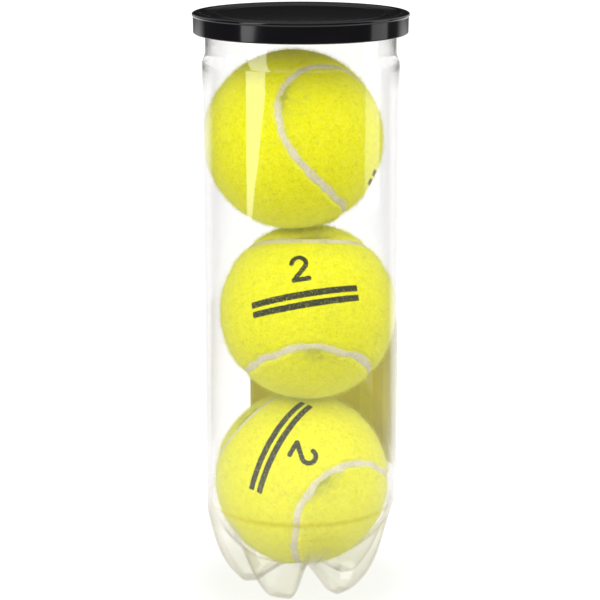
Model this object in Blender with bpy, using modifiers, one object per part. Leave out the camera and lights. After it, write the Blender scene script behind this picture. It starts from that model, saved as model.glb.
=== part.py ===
"""A clear tennis ball can with three balls, a ring-pull metal end and a push-on lid.

Run it with: blender --background --python part.py

Units are metres, +Z is up, and the origin is the middle of the circle that the feet stand on.
The front of the can is towards -Y. An azimuth is measured from the front, towards +X.
"""

import math

import bmesh
import bpy
from mathutils import Vector

MM = 0.001

# Turned parts share one segment count and one start azimuth, so that coaxial facets line up.
SEGMENTS = 40
MERGE = 0.00005

# Can body: a blown PET bottle shape whose top end is a flange for the metal end.
CAN_RADIUS = 36.5 * MM
CAN_WALL = 0.45 * MM
CREASE_Z = 34.6 * MM
DOME_Z = 7.7 * MM
SHOULDER_Z = 201.0 * MM
NECK_Z = 204.5 * MM
NECK_RADIUS = 35.2 * MM
FLANGE_RADIUS = 35.9 * MM
FLANGE_Z = 218.05 * MM
HOOK_RADIUS = 36.85 * MM

# Feet: five hollow lobes blown out of the dome, with valleys between them.
FOOT_COUNT = 5
FOOT_AZIMUTH = math.radians(-21.7)
FOOT_FLAT = 0.28
FOOT_PROFILE_MM = [
    (36.5, 34.6),
    (36.2, 29.8),
    (34.9, 23.4),
    (32.7, 15.8),
    (29.6, 9.0),
    (26.0, 3.9),
    (21.8, 0.0),
    (17.4, 0.0),
    (13.0, 2.6),
    (7.5, 6.0),
    (0.0, 7.7),
]

# Metal end: a ring seamed over the flange, and a panel that tears out along the score.
SHEET = 0.25 * MM
SEAM_RADIUS = 37.6 * MM
SEAM_TOP_Z = 219.12 * MM
CHUCK_RADIUS = 34.42 * MM
SCORE_RADIUS = 33.83 * MM
COMPOUND_R = (35.6 * MM, 37.1 * MM)
COMPOUND_Z = (218.6 * MM, 218.9 * MM)
PANEL_RADIUS = 33.5 * MM
PANEL_EDGE_Z = 215.25 * MM
PANEL_WELL_RADIUS = 30.4 * MM
PANEL_WELL_Z = 214.8 * MM

# Ring pull: it lies on the panel with its nose towards +Y, and turns up about the nose.
RIVET_Y = 26.0 * MM
TAB_Z = (215.75 * MM, 216.55 * MM)
TAB_NOSE_Y = 29.8 * MM
TAB_AXIS_Y = 29.1 * MM
TAB_NOSE_HALF_WIDTH = 4.6 * MM
TAB_HALF_WIDTH = 8.2 * MM
RING_CENTRE_Y = 13.4 * MM
RING_HOLE = (5.6 * MM, 4.7 * MM)
SLOT_HALF_WIDTH = 3.3 * MM
SLOT_Y = (22.6 * MM, 28.6 * MM)
TONGUE_HALF_WIDTH = 2.9 * MM
TONGUE_Y = (23.4 * MM, 28.2 * MM)
TONGUE_THICK = 0.4 * MM
TONGUE_HOLE = 1.6 * MM

# Snap-on lid.
LID_RADIUS = 39.7 * MM
LID_TOP_Z = 220.6 * MM
LID_PANEL_Z = 220.15 * MM
LID_UNDER_Z = 219.55 * MM
LID_SKIRT_Z = 213.3 * MM
LID_BORE = 38.05 * MM
LID_BEAD = 37.87 * MM

# Label: a sticker round the back of the can. Its azimuths are measured from the back.
LABEL_AZIMUTHS = (math.radians(-33.0), math.radians(88.0))
LABEL_Z = (43.7 * MM, 102.3 * MM)
LABEL_INNER_RADIUS = 36.65 * MM
LABEL_THICK = 0.2 * MM
LABEL_SEGMENTS = 36

# Balls: two rubber half shells, two felt panels and the cement in the seam between them.
BALL_RADIUS = 33.0 * MM
FELT_INNER_RADIUS = 29.9 * MM
CORE_RADIUS = 29.3 * MM
CORE_WALL = 3.3 * MM
CORE_HALF_GAP = 0.15 * MM
CORE_SEGMENTS = 24
CORE_RINGS = 5
SEAM_SHAPE = 0.81  # share of the seam curve's first harmonic; the rest is its third
SEAM_HALF_WIDTH = 0.85 * MM
SEAM_R = (30.0 * MM, 32.4 * MM)
FELT_EDGE = 1.1 * MM  # from the seam's middle line to a felt panel's edge
FELT_ROWS = 20
FELT_COLUMNS = 8
BALL_GAP = 0.1 * MM
BOTTOM_BALL_Z = 41.6 * MM
BALL_X = {"bottom": 0.4 * MM, "middle": 2.75 * MM, "top": -2.75 * MM}
BALL_TURN_DEG = {
    "bottom": (-169.0, 46.5, -95.5),
    "middle": (-53.6, 36.4, -149.5),
    "top": (56.0, 22.0, -70.5),
}


# ---------------------------------------------------------------- scene and materials


def clear_scene():
    for obj in list(bpy.data.objects):
        bpy.data.objects.remove(obj)


def collection_named(name):
    made = bpy.data.collections.new(name)
    bpy.context.scene.collection.children.link(made)
    return made


def material(name, colour, roughness, metallic=0.0, alpha=1.0):
    made = bpy.data.materials.new(name)
    made.use_nodes = True
    shader = made.node_tree.nodes["Principled BSDF"]
    shader.inputs["Base Color"].default_value = (*colour, 1.0)
    shader.inputs["Roughness"].default_value = roughness
    shader.inputs["Metallic"].default_value = metallic
    shader.inputs["Alpha"].default_value = alpha
    return made


def add_object(name, data, finish, collection, parent=None):
    obj = bpy.data.objects.new(name, data)
    collection.objects.link(obj)
    obj.parent = parent
    if finish.name not in data.materials:
        data.materials.append(finish)
    return obj


# ---------------------------------------------------------------- shape helpers


def screw(obj, steps, angle=math.tau):
    turn = obj.modifiers.new("turn", "SCREW")
    turn.axis = "Z"
    turn.angle = angle
    turn.steps = steps
    turn.render_steps = steps
    turn.use_merge_vertices = True
    turn.merge_threshold = MERGE


def solidify(obj, thickness, offset):
    shell = obj.modifiers.new("shell", "SOLIDIFY")
    shell.thickness = thickness
    shell.offset = offset
    shell.use_even_offset = True


def profile_mesh(name, points, closed=False):
    """A mesh of edges alone, from (radius, height) points in the XZ plane."""
    count = len(points)
    edges = [(i, (i + 1) % count) for i in range(count if closed else count - 1)]
    mesh = bpy.data.meshes.new(name)
    mesh.from_pydata([(r, 0.0, z) for r, z in points], edges, [])
    return mesh


def turned(name, points, finish, collection, closed=False, steps=SEGMENTS):
    obj = add_object(name, profile_mesh(name, points, closed), finish, collection)
    screw(obj, steps)
    obj.rotation_euler.z = FOOT_AZIMUTH
    return obj


def made_mesh(obj):
    """Replaces the object's data and modifiers with the mesh that they make."""
    graph = bpy.context.evaluated_depsgraph_get()
    mesh = bpy.data.meshes.new_from_object(obj.evaluated_get(graph))
    obj.modifiers.clear()
    obj.data = mesh
    return mesh


def shade(obj, angle_deg=30.0):
    """Smooth shading with sharp edges kept, on an object that holds a mesh."""
    obj.data.shade_smooth()
    obj.data.set_sharp_from_angle(angle=math.radians(angle_deg))


def arc(centre, radius, start_deg, end_deg, steps):
    """Points on an arc in the plane, from start to end, anticlockwise where end is larger."""
    points = []
    for i in range(steps + 1):
        angle = math.radians(start_deg + (end_deg - start_deg) * i / steps)
        x = centre[0] + radius * math.cos(angle)
        points.append((x, centre[1] + radius * math.sin(angle)))
    return points


def flat_plate(name, outlines, z_range, finish, collection):
    """A plate of constant thickness. The first outline is its edge, and the rest are holes."""
    curve = bpy.data.curves.new(name, "CURVE")
    curve.dimensions = "2D"
    curve.fill_mode = "BOTH"
    curve.extrude = (z_range[1] - z_range[0]) / 2
    for outline in outlines:
        spline = curve.splines.new("POLY")
        spline.points.add(len(outline) - 1)
        for point, (x, y) in zip(spline.points, outline):
            point.co = (x, y, 0.0, 1.0)
        spline.use_cyclic_u = True
    plate = add_object(name, curve, finish, collection)
    plate.location.z = (z_range[0] + z_range[1]) / 2
    return plate


# ---------------------------------------------------------------- can body


def smooth(x):
    x = min(1.0, max(0.0, x))
    return x * x * (3 - 2 * x)


def dome_sphere():
    """(radius, centre height) of the sphere through the crease ring and the dome's bottom."""
    depth = CREASE_Z - DOME_Z
    radius = (CAN_RADIUS**2 + depth**2) / (2 * depth)
    return radius, DOME_Z + radius


def foot_weight(azimuth):
    """1 on a foot's middle line, 0 in the valley between two feet."""
    pitch = math.tau / FOOT_COUNT
    off = abs((azimuth - FOOT_AZIMUTH + pitch / 2) % pitch - pitch / 2) / (pitch / 2)
    return 1.0 - smooth((off - FOOT_FLAT) / (1.0 - FOOT_FLAT))


def blow_feet(mesh):
    """Moves the dome's points out to the feet, along the foot profile.

    The mesh is turned by FOOT_AZIMUTH when it is placed, so its own +X is at that azimuth plus
    a quarter turn. The dome's rings are numbered by the foot profile's points.
    """
    radius, centre_z = dome_sphere()
    ring_angle = math.asin(CAN_RADIUS / radius)
    last = len(FOOT_PROFILE_MM) - 1
    for vertex in mesh.vertices:
        x, y, z = vertex.co
        if z > CREASE_Z - MERGE:
            continue
        r = math.hypot(x, y)
        share = 1.0 - math.atan2(r, centre_z - z) / ring_angle
        foot_r, foot_z = FOOT_PROFILE_MM[round(share * last)]
        weight = foot_weight(math.atan2(y, x) + math.pi / 2 + FOOT_AZIMUTH)
        new_r = r + weight * (foot_r * MM - r)
        if r > MERGE:
            vertex.co.x *= new_r / r
            vertex.co.y *= new_r / r
        vertex.co.z += weight * (foot_z * MM - z)


def build_can_body(finish, collection):
    """One outer surface from the flange's hook down to the middle of the dome, then its wall."""
    points = [
        (HOOK_RADIUS, FLANGE_Z - 1.05 * MM),
        (HOOK_RADIUS, FLANGE_Z),
        (FLANGE_RADIUS, FLANGE_Z),
        (FLANGE_RADIUS, FLANGE_Z - 1.25 * MM),
        (NECK_RADIUS, FLANGE_Z - 2.35 * MM),
        (NECK_RADIUS, NECK_Z),
        (NECK_RADIUS + 0.45 * MM, NECK_Z - 1.6 * MM),
        (CAN_RADIUS, SHOULDER_Z + 0.4 * MM),
        (CAN_RADIUS, SHOULDER_Z - 1.5 * MM),
        (CAN_RADIUS, (SHOULDER_Z + CREASE_Z) / 2),
    ]
    radius, centre_z = dome_sphere()
    ring_angle = math.asin(CAN_RADIUS / radius)
    last = len(FOOT_PROFILE_MM) - 1
    for i in range(last + 1):
        angle = ring_angle * (1 - i / last)
        points.append((radius * math.sin(angle), centre_z - radius * math.cos(angle)))
    body = turned("can_body", points, finish, collection)
    blow_feet(made_mesh(body))
    shade(body)
    solidify(body, CAN_WALL, -1)


# ---------------------------------------------------------------- metal end


def build_end_rim(finish, collection):
    """The end's ring: hook, seam wall, seam top, chuck wall and the bead at the score."""
    low = SEAM_TOP_Z - 2.92 * MM
    points = [
        (SEAM_RADIUS - 1.15 * MM, SEAM_TOP_Z - 1.37 * MM),
        (SEAM_RADIUS - 1.15 * MM, low + 0.35 * MM),
        (SEAM_RADIUS - 0.8 * MM, low),
        (SEAM_RADIUS - 0.35 * MM, low),
        (SEAM_RADIUS, low + 0.35 * MM),
        (SEAM_RADIUS, SEAM_TOP_Z - 0.35 * MM),
        (SEAM_RADIUS - 0.3 * MM, SEAM_TOP_Z),
        (SEAM_RADIUS - 2.2 * MM, SEAM_TOP_Z),
        (CHUCK_RADIUS + 0.3 * MM, SEAM_TOP_Z - 0.35 * MM),
        (CHUCK_RADIUS, SEAM_TOP_Z - 1.0 * MM),
        (CHUCK_RADIUS, PANEL_EDGE_Z + 0.15 * MM),
        (CHUCK_RADIUS - 0.2 * MM, PANEL_EDGE_Z - 0.35 * MM),
        (SCORE_RADIUS + 0.1 * MM, PANEL_EDGE_Z - 0.4 * MM),
        (SCORE_RADIUS, PANEL_EDGE_Z),
    ]
    rim = turned("end_rim", points, finish, collection)
    made_mesh(rim)
    shade(rim)
    solidify(rim, SHEET, 0)


def build_seam_compound(finish, collection):
    (inner, outer), (low, high) = COMPOUND_R, COMPOUND_Z
    points = [(inner, high), (outer, high), (outer, low), (inner, low)]
    turned("seam_compound", points, finish, collection, closed=True)


def build_tear_panel(finish, collection, cutters):
    """The panel inside the score, with the rivet that is drawn up out of it."""
    points = [
        (PANEL_RADIUS, PANEL_EDGE_Z),
        (PANEL_WELL_RADIUS + 0.7 * MM, PANEL_EDGE_Z),
        (PANEL_WELL_RADIUS, PANEL_WELL_Z),
        (0.0, PANEL_WELL_Z),
    ]
    panel = turned("tear_panel", points, finish, collection)
    made_mesh(panel)
    shade(panel)
    solidify(panel, SHEET, 0)
    head_z = TAB_Z[0] + TONGUE_THICK + 0.15 * MM
    rivet_points = [
        (0.0, head_z + 0.7 * MM),
        (1.4 * MM, head_z + 0.6 * MM),
        (2.2 * MM, head_z + 0.3 * MM),
        (2.2 * MM, head_z),
        (1.3 * MM, head_z),
        (1.3 * MM, TAB_Z[0] - 0.3 * MM),
        (2.6 * MM, PANEL_WELL_Z + 0.3 * MM),
        (2.6 * MM, PANEL_WELL_Z),
        (0.0, PANEL_WELL_Z),
    ]
    rivet = turned("rivet_shape", rivet_points, finish, cutters, steps=16)
    made_mesh(rivet)
    rivet.location.y = RIVET_Y
    rivet.hide_render = True
    rivet.display_type = "WIRE"
    join = panel.modifiers.new("rivet", "BOOLEAN")
    join.operation = "UNION"
    join.object = rivet


def build_tab_tongue(finish, collection):
    """The strip of the ring pull that the rivet clamps. It stays flat when the ring turns up."""
    w, (near, far) = TONGUE_HALF_WIDTH, TONGUE_Y
    outline = [(w, far), (-w, far)]
    outline += arc((0.0, near + w), w, 180, 360, 10)
    hole = arc((0.0, RIVET_Y), TONGUE_HOLE, 0, 337.5, 15)
    z = (TAB_Z[0], TAB_Z[0] + TONGUE_THICK)
    flat_plate("tab_tongue", [outline, hole], z, finish, collection)


def build_ring_pull(finish, collection):
    """The ring pull, with its origin on the line that it turns about."""
    shoulder_y = 20.5 * MM
    outline = [(TAB_NOSE_HALF_WIDTH, TAB_NOSE_Y), (-TAB_NOSE_HALF_WIDTH, TAB_NOSE_Y)]
    outline.append((-TAB_NOSE_HALF_WIDTH - 1.2 * MM, TAB_NOSE_Y - 1.0 * MM))
    outline.append((-TAB_HALF_WIDTH, shoulder_y))
    outline += arc((0.0, RING_CENTRE_Y), TAB_HALF_WIDTH, 180, 360, 18)
    outline.append((TAB_HALF_WIDTH, shoulder_y))
    outline.append((TAB_NOSE_HALF_WIDTH + 1.2 * MM, TAB_NOSE_Y - 1.0 * MM))
    w, (near, far) = SLOT_HALF_WIDTH, SLOT_Y
    slot = [(w, far), (-w, far)]
    slot += arc((0.0, near + w), w, 180, 360, 10)
    half_width, half_length = RING_HOLE
    ring_hole = []
    for x, y in arc((0.0, 0.0), 1.0, 0, 345, 23):
        ring_hole.append((x * half_width, RING_CENTRE_Y + y * half_length))
    moved = []
    for points in (outline, slot, ring_hole):
        moved.append([(x, y - TAB_AXIS_Y) for x, y in points])
    ring = flat_plate("ring_pull", moved, TAB_Z, finish, collection)
    ring.location.y = TAB_AXIS_Y


# ---------------------------------------------------------------- lid and label


def build_lid(finish, collection):
    """A turned cap: recessed panel, raised rim with a small lip, and a skirt with a bead."""
    points = [
        (0.0, LID_PANEL_Z),
        (LID_RADIUS - 3.4 * MM, LID_PANEL_Z),
        (LID_RADIUS - 2.9 * MM, LID_TOP_Z),
        (LID_RADIUS - 0.8 * MM, LID_TOP_Z),
        (LID_RADIUS - 0.2 * MM, LID_TOP_Z - 0.3 * MM),
        (LID_RADIUS, LID_TOP_Z - 0.7 * MM),
        (LID_RADIUS - 0.3 * MM, LID_TOP_Z - 1.1 * MM),
        (LID_RADIUS - 0.8 * MM, LID_SKIRT_Z + 0.2 * MM),
        (LID_RADIUS - 1.0 * MM, LID_SKIRT_Z),
        (LID_BORE + 0.25 * MM, LID_SKIRT_Z),
        (LID_BORE, LID_SKIRT_Z + 0.4 * MM),
        (LID_BEAD, LID_SKIRT_Z + 1.2 * MM),
        (LID_BORE, LID_SKIRT_Z + 2.0 * MM),
        (LID_BORE, LID_UNDER_Z - 0.25 * MM),
        (LID_BORE - 0.25 * MM, LID_UNDER_Z),
        (0.0, LID_UNDER_Z),
    ]
    lid = turned("snap_lid", points, finish, collection)
    made_mesh(lid)
    shade(lid)


def build_label(finish, collection):
    """A sheet bent round the back of the can. An azimuth from the back turns clockwise."""
    start, end = LABEL_AZIMUTHS
    points = [(LABEL_INNER_RADIUS, LABEL_Z[1]), (LABEL_INNER_RADIUS, LABEL_Z[0])]
    label = add_object("rear_label", profile_mesh("rear_label", points), finish, collection)
    screw(label, LABEL_SEGMENTS, end - start)
    label.rotation_euler.z = math.pi / 2 - end
    made_mesh(label)
    solidify(label, LABEL_THICK, 1)


# ---------------------------------------------------------------- balls


def seam_point(t):
    """The seam's middle line on the unit sphere, for t from 0 to a full turn."""
    a, b = SEAM_SHAPE, 1.0 - SEAM_SHAPE
    x = a * math.cos(t) + b * math.cos(3 * t)
    y = a * math.sin(t) - b * math.sin(3 * t)
    return Vector((x, y, 2 * math.sqrt(a * b) * math.sin(2 * t)))


def seam_side(t):
    """The unit direction on the sphere across the seam, towards the panel that holds +Z."""
    step = 0.001
    along = seam_point(t + step) - seam_point(t - step)
    return seam_point(t).cross(along).normalized()


def felt_rows():
    """Unit directions of one felt panel: a tip, rows across the panel, and the other tip.

    The panel is symmetric about the plane x = -y, so seam points t and -pi/2 - t face each
    other across it.
    """
    rows = []
    inset = FELT_EDGE / BALL_RADIUS
    for i in range(FELT_ROWS + 1):
        t = -math.pi / 4 + math.pi * i / FELT_ROWS
        left = (seam_point(t) + inset * seam_side(t)).normalized()
        if i in (0, FELT_ROWS):
            rows.append([left])
            continue
        right = Vector((-left.y, -left.x, left.z))
        row = []
        for k in range(FELT_COLUMNS + 1):
            row.append(left.slerp(right, k / FELT_COLUMNS))
        rows.append(row)
    return rows


def felt_mesh(name):
    """A panel whose edges point at the ball's centre, which an offset along normals can't give."""
    bm = bmesh.new()
    skins = []
    for radius in (BALL_RADIUS, FELT_INNER_RADIUS):
        skins.append([[bm.verts.new(p * radius) for p in row] for row in felt_rows()])
    for rows in skins:
        for upper, lower in zip(rows, rows[1:]):
            for k in range(FELT_COLUMNS):
                corners = [upper[min(k, len(upper) - 1)], upper[min(k + 1, len(upper) - 1)]]
                corners += [lower[min(k + 1, len(lower) - 1)], lower[min(k, len(lower) - 1)]]
                bm.faces.new(dict.fromkeys(corners))
    outer, inner = skins
    for side in (0, -1):
        for i in range(FELT_ROWS):
            wall = [outer[i][side], outer[i + 1][side], inner[i + 1][side], inner[i][side]]
            bm.faces.new(wall)
    return finished(bm, name)


def seam_mesh(name):
    """The cement strip: a rectangle swept along the closed seam line."""
    bm = bmesh.new()
    rings = []
    count = 2 * FELT_ROWS
    for i in range(count):
        t = -math.pi / 4 + math.tau * i / count
        middle, side = seam_point(t), seam_side(t)
        low, high = middle * SEAM_R[0], middle * SEAM_R[1]
        across = side * SEAM_HALF_WIDTH
        corners = (high + across, high - across, low - across, low + across)
        rings.append([bm.verts.new(corner) for corner in corners])
    for ring, after in zip(rings, rings[1:] + rings[:1]):
        for k in range(4):
            bm.faces.new([ring[k], ring[(k + 1) % 4], after[(k + 1) % 4], after[k]])
    return finished(bm, name)


def finished(bm, name):
    bmesh.ops.recalc_face_normals(bm, faces=bm.faces)
    mesh = bpy.data.meshes.new(name)
    bm.to_mesh(mesh)
    bm.free()
    mesh.shade_smooth()
    mesh.set_sharp_from_angle(angle=math.radians(30))
    return mesh


def core_mesh(name, finish, collection):
    """Half of the hollow rubber core, open at the plane where the halves are bonded."""
    start = math.asin(CORE_HALF_GAP / CORE_RADIUS)
    outer, inner = [], []
    for i in range(CORE_RINGS + 1):
        angle = math.pi / 2 + (start - math.pi / 2) * i / CORE_RINGS
        outer.append((CORE_RADIUS * math.cos(angle), CORE_RADIUS * math.sin(angle)))
        r = CORE_RADIUS - CORE_WALL
        inner.append((r * math.cos(angle), r * math.sin(angle)))
    outer[0] = (0.0, CORE_RADIUS)
    inner[0] = (0.0, CORE_RADIUS - CORE_WALL)
    inner[-1] = (inner[-1][0], CORE_HALF_GAP)
    points = outer + inner[::-1]
    shape = turned(name, points, finish, collection, steps=CORE_SEGMENTS)
    mesh = made_mesh(shape)
    bpy.data.objects.remove(shape)
    mesh.shade_smooth()
    mesh.set_sharp_from_angle(angle=math.radians(30))
    return mesh


def ball_centres():
    """Each ball's centre: the bottom one rests in the dome, and the others lean on the wall."""
    centres = {}
    z = BOTTOM_BALL_Z
    reach = 2 * BALL_RADIUS + BALL_GAP
    below = None
    for name in ("bottom", "middle", "top"):
        x = BALL_X[name]
        if below is not None:
            z += math.sqrt(reach**2 - (x - below) ** 2)
        centres[name] = (x, 0.0, z)
        below = x
    return centres


def build_balls(finishes, collection):
    core = core_mesh("core", finishes["core"], collection)
    felt = felt_mesh("felt")
    seam = seam_mesh("seam")
    for name, centre in ball_centres().items():
        middle = bpy.data.objects.new(name + "_ball", None)
        collection.objects.link(middle)
        middle.location = centre
        middle.rotation_euler = [math.radians(angle) for angle in BALL_TURN_DEG[name]]
        pieces = (
            ("core_a", core, "core", 0.0),
            ("core_b", core, "core", math.pi),
            ("felt_a", felt, "felt", 0.0),
            ("felt_b", felt, "felt", math.pi),
            ("seam", seam, "seam", 0.0),
        )
        for part, mesh, finish, turn in pieces:
            full_name = name + "_ball_" + part
            obj = add_object(full_name, mesh, finishes[finish], collection, middle)
            obj.rotation_euler.x = turn


# ---------------------------------------------------------------- the whole object


def main():
    clear_scene()
    parts = collection_named("tennis_ball_can")
    cutters = collection_named("helper_shapes")
    clear_pet = material("clear_pet", (0.93, 0.94, 0.93), 0.05, alpha=0.2)
    black = material("black_plastic", (0.012, 0.012, 0.014), 0.3)
    metal = material("end_metal", (0.72, 0.73, 0.74), 0.25, metallic=1.0)
    compound = material("compound", (0.55, 0.5, 0.4), 0.6)
    sticker = material("label", (0.62, 0.6, 0.12), 0.45)
    ball_finishes = {
        "core": material("core_rubber", (0.09, 0.08, 0.08), 0.8),
        "felt": material("felt", (0.8, 0.86, 0.06), 0.95),
        "seam": material("seam_cement", (0.75, 0.73, 0.62), 0.7),
    }
    build_can_body(clear_pet, parts)
    build_end_rim(metal, parts)
    build_seam_compound(compound, parts)
    build_tear_panel(metal, parts, cutters)
    build_tab_tongue(metal, parts)
    build_ring_pull(metal, parts)
    build_lid(black, parts)
    build_label(sticker, parts)
    build_balls(ball_finishes, parts)


main()
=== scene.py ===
import math

import bpy
import numpy as np
from mathutils import Euler, Matrix, Vector, kdtree, noise


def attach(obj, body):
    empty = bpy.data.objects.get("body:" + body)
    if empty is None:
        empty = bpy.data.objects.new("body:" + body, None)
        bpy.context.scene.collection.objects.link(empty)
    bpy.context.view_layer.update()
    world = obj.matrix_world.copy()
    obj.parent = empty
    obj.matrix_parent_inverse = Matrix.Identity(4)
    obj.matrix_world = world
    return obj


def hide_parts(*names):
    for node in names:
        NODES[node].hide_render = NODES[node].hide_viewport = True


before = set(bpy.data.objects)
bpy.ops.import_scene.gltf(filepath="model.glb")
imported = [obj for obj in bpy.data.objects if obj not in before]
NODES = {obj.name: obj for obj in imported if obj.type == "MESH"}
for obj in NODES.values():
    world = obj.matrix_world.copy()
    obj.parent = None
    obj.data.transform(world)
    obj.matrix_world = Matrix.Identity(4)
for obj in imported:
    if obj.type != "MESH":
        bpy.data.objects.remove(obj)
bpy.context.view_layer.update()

# The looks of a clear can of three tennis balls. Shapes are in millimetres until a mesh is made.
# What materials, lights and the camera take is in metres.
MM = 0.001

# ---------------------------------------- sizes of the can

CAN_R = 36.5
CAN_WALL = 0.45
CREASE_Z = 34.6
DOME_Z = 7.7
SHOULDER_Z = 203.1
SHOULDER_R = 36.12
SHOULDER_TOP_Z = 206.8
SHOULDER_FLARE = 1.9
NECK_R = 35.2
FLANGE_R = 36.85
FLANGE_Z = 218.05
WALL_RIPPLE = 0.05
FOOT_COUNT = 5
FOOT_AZIMUTH = math.radians(-21.7)
# A foot's flat middle and where its sides end, as shares of half its pitch.
FOOT_FLAT = 0.22
FOOT_SIDE = 0.86
# Down the middle of a foot from the crease to the axis, as (r, z).
FOOT_PROFILE = [
    (36.5, 34.6), (36.2, 29.8), (34.9, 23.4), (32.7, 15.8), (29.6, 9.0), (26.0, 3.9),
    (21.8, 0.0), (17.4, 0.0), (13.0, 2.6), (7.5, 6.0), (0.0, 7.7),
]
CAN_STEPS = 240
BASE_ROWS = 72
LATHE_STEPS = 192

# ---------------------------------------- sizes of lid, end and label

LID_TOP_Z = 220.72
LID_PANEL_Z = 220.12
LID_UNDER_Z = 219.55
LID_SKIRT_Z = 213.1
LID_LIP_R = 39.98
LID_BORE_R = 38.1
SHEET = 0.255
SHEET_TOP_Z = 214.925
RIVET_Y = 26.0
FINGER_Y = 13.4
TAB_HALF_WIDTH = 8.2
TAB_LOW_Z = 215.75
# The label's ends are azimuths from the back, towards +X.
LABEL_FROM_DEG = -33.0
LABEL_TO_DEG = 88.0
LABEL_LOW_Z = 43.7
LABEL_HEIGHT = 58.6
LABEL_LENGTH = 77.0
LABEL_CORNER = 2.5
LABEL_INNER_R = 36.62
LABEL_OUTER_R = 36.85

# ---------------------------------------- sizes of a ball

# The seam's curve: 1 would be a plain circle, and less weaves further.
SEAM_SHAPE = 0.81
BALL_TURN_DEG = {
    "bottom": (-169.0, 46.5, -95.5),
    "middle": (-53.6, 36.4, -149.5),
    "top": (56.0, 22.0, -70.5),
}
FELT_R = 33.1
FELT_INNER_R = 30.2
# How far the felt's edge is from the seam's middle, and the least and most that it strays to.
FELT_EDGE = 0.86
FELT_EDGE_LIMITS = (0.3, 1.35)
SEAM_R = 32.7
SEAM_INNER_R = 30.3
SEAM_HALF = 1.55
# The room between a ball that leans on the can and the can's inside.
BALL_ROOM = 0.12
FELT_ROWS, FELT_COLUMNS = ((300, 120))
SEAM_STEPS = 900
NAP_HAIRS = 14000

# Where each ball's print is: outward directions of its bars' middle and of its numeral.
PRINT_AT = {
    "middle": ((-0.043, -0.930, 0.365), (-0.098, -0.736, 0.670)),
    "bottom": ((-0.291, -0.683, 0.670), (-0.054, -0.805, 0.591)),
    "top": ((0.829, 0.250, -0.499), (0.890, 0.300, -0.144)),
}
BAR_HALF_LENGTH = 21.0
BAR_HALF_HEIGHT = 1.25
BAR_Y = 1.9
STROKE_HALF = 0.95
BOWL_R = 2.7
BOWL_Y = 14.2
NUMERAL_FOOT_Y = 7.7
# Radians from the print's middle, past which there is none.
PRINT_REACH = 1.6

# ---------------------------------------- floor, light, camera and clear wall

FLOOR_HALF = 4000.0
# How bright the floor looks, and how bright it is as a light.
FLOOR_GLOW = 1.2
FLOOR_LIGHT = 0.6
# In metres: a soft box's height, the camera's place, and heights of the clear wall's painted base
# shade and crease ring.
SOFTBOX_HEIGHT = 1.6
CAMERA_AT = (-0.000288, -0.76404, 0.2966)
BASE_SHADE_Z = (0.029, 0.036)
PAINTED_RING_HALF = 0.0015
# Radians below level, and the lens in millimetres.
CAMERA_TILT = 0.237
CAMERA_LENS = 124.6
# The share of light that the clear wall mirrors where it is seen face on.
PET_MIRROR = 0.05


# ---------------------------------------- mesh helpers


def smooth(x):
    """0 to 1 with level ends."""
    x = np.clip(x, 0.0, 1.0)
    return x * x * (3 - 2 * x)


def add_mesh(name, points_mm, faces, material):
    """A smooth-shaded object from points in millimetres."""
    mesh = bpy.data.meshes.new(name)
    mesh.from_pydata((np.asarray(points_mm, float) * MM).tolist(), [], faces)
    mesh.validate()
    mesh.update()
    mesh.shade_smooth()
    obj = bpy.data.objects.new(name, mesh)
    bpy.context.scene.collection.objects.link(obj)
    mesh.materials.append(material)
    return obj


def add_values(obj, label, values):
    """Keeps one number for each point, for a material to read."""
    layer = obj.data.attributes.new(label, "FLOAT", "POINT")
    layer.data.foreach_set("value", np.asarray(values, np.float32))


def place(obj, body, slot, *nodes):
    """Puts a piece on its CAD body, in place of any CAD nodes that are named."""
    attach(obj, body)
    if nodes:
        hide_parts(*nodes)


def rounded(points, radius, steps=4):
    """The open (r, z) polyline with each inner corner rounded. A point may give its own radius."""
    out = [points[0][:2]]
    for before, here, after in zip(points, points[1:], points[2:]):
        size = here[2] if len(here) > 2 else radius
        p, a, b = (np.array(q[:2], float) for q in (here, before, after))
        in_len, out_len = np.linalg.norm(p - a), np.linalg.norm(b - p)
        cut = min(size, 0.45 * in_len, 0.45 * out_len)
        start, end = p + (a - p) / in_len * cut, p + (b - p) / out_len * cut
        for k in range(steps + 1):
            t = k / steps
            out.append(tuple((1 - t) ** 2 * start + 2 * t * (1 - t) * p + t * t * end))
    out.append(points[-1][:2])
    return out


def tube_faces(rows, steps, closed=False):
    """Faces between rings of points. If closed, the last ring is joined to the first."""
    faces = []
    for i in range(rows if closed else rows - 1):
        j = (i + 1) % rows
        for k in range(steps):
            m = (k + 1) % steps
            faces.append((i * steps + k, j * steps + k, j * steps + m, i * steps + m))
    return faces


def lathe(name, profile, material, steps=LATHE_STEPS):
    """A closed body turned about Z from an (r, z) line that starts and ends on the axis,
    or from a closed (r, z) loop that never touches it."""
    on_axis = profile[0][0] == 0.0
    angles = np.arange(steps) * (2 * math.pi / steps)
    ring = [p for p in profile if p[0] > 0.0]
    points = []
    for r, z in ring:
        points.append(np.stack([r * np.cos(angles), r * np.sin(angles), np.full(steps, z)], 1))
    points = np.concatenate(points)
    count = len(ring)
    faces = tube_faces(count, steps, closed=not on_axis)
    if on_axis:
        top, low = len(points), len(points) + 1
        points = np.concatenate([points, [(0, 0, profile[0][1]), (0, 0, profile[-1][1])]])
        for k in range(steps):
            m = (k + 1) % steps
            faces.append((top, k, m))
            faces.append((low, (count - 1) * steps + m, (count - 1) * steps + k))
    obj = add_mesh(name, points, faces, material)
    face_outward(obj)
    return obj


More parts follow.
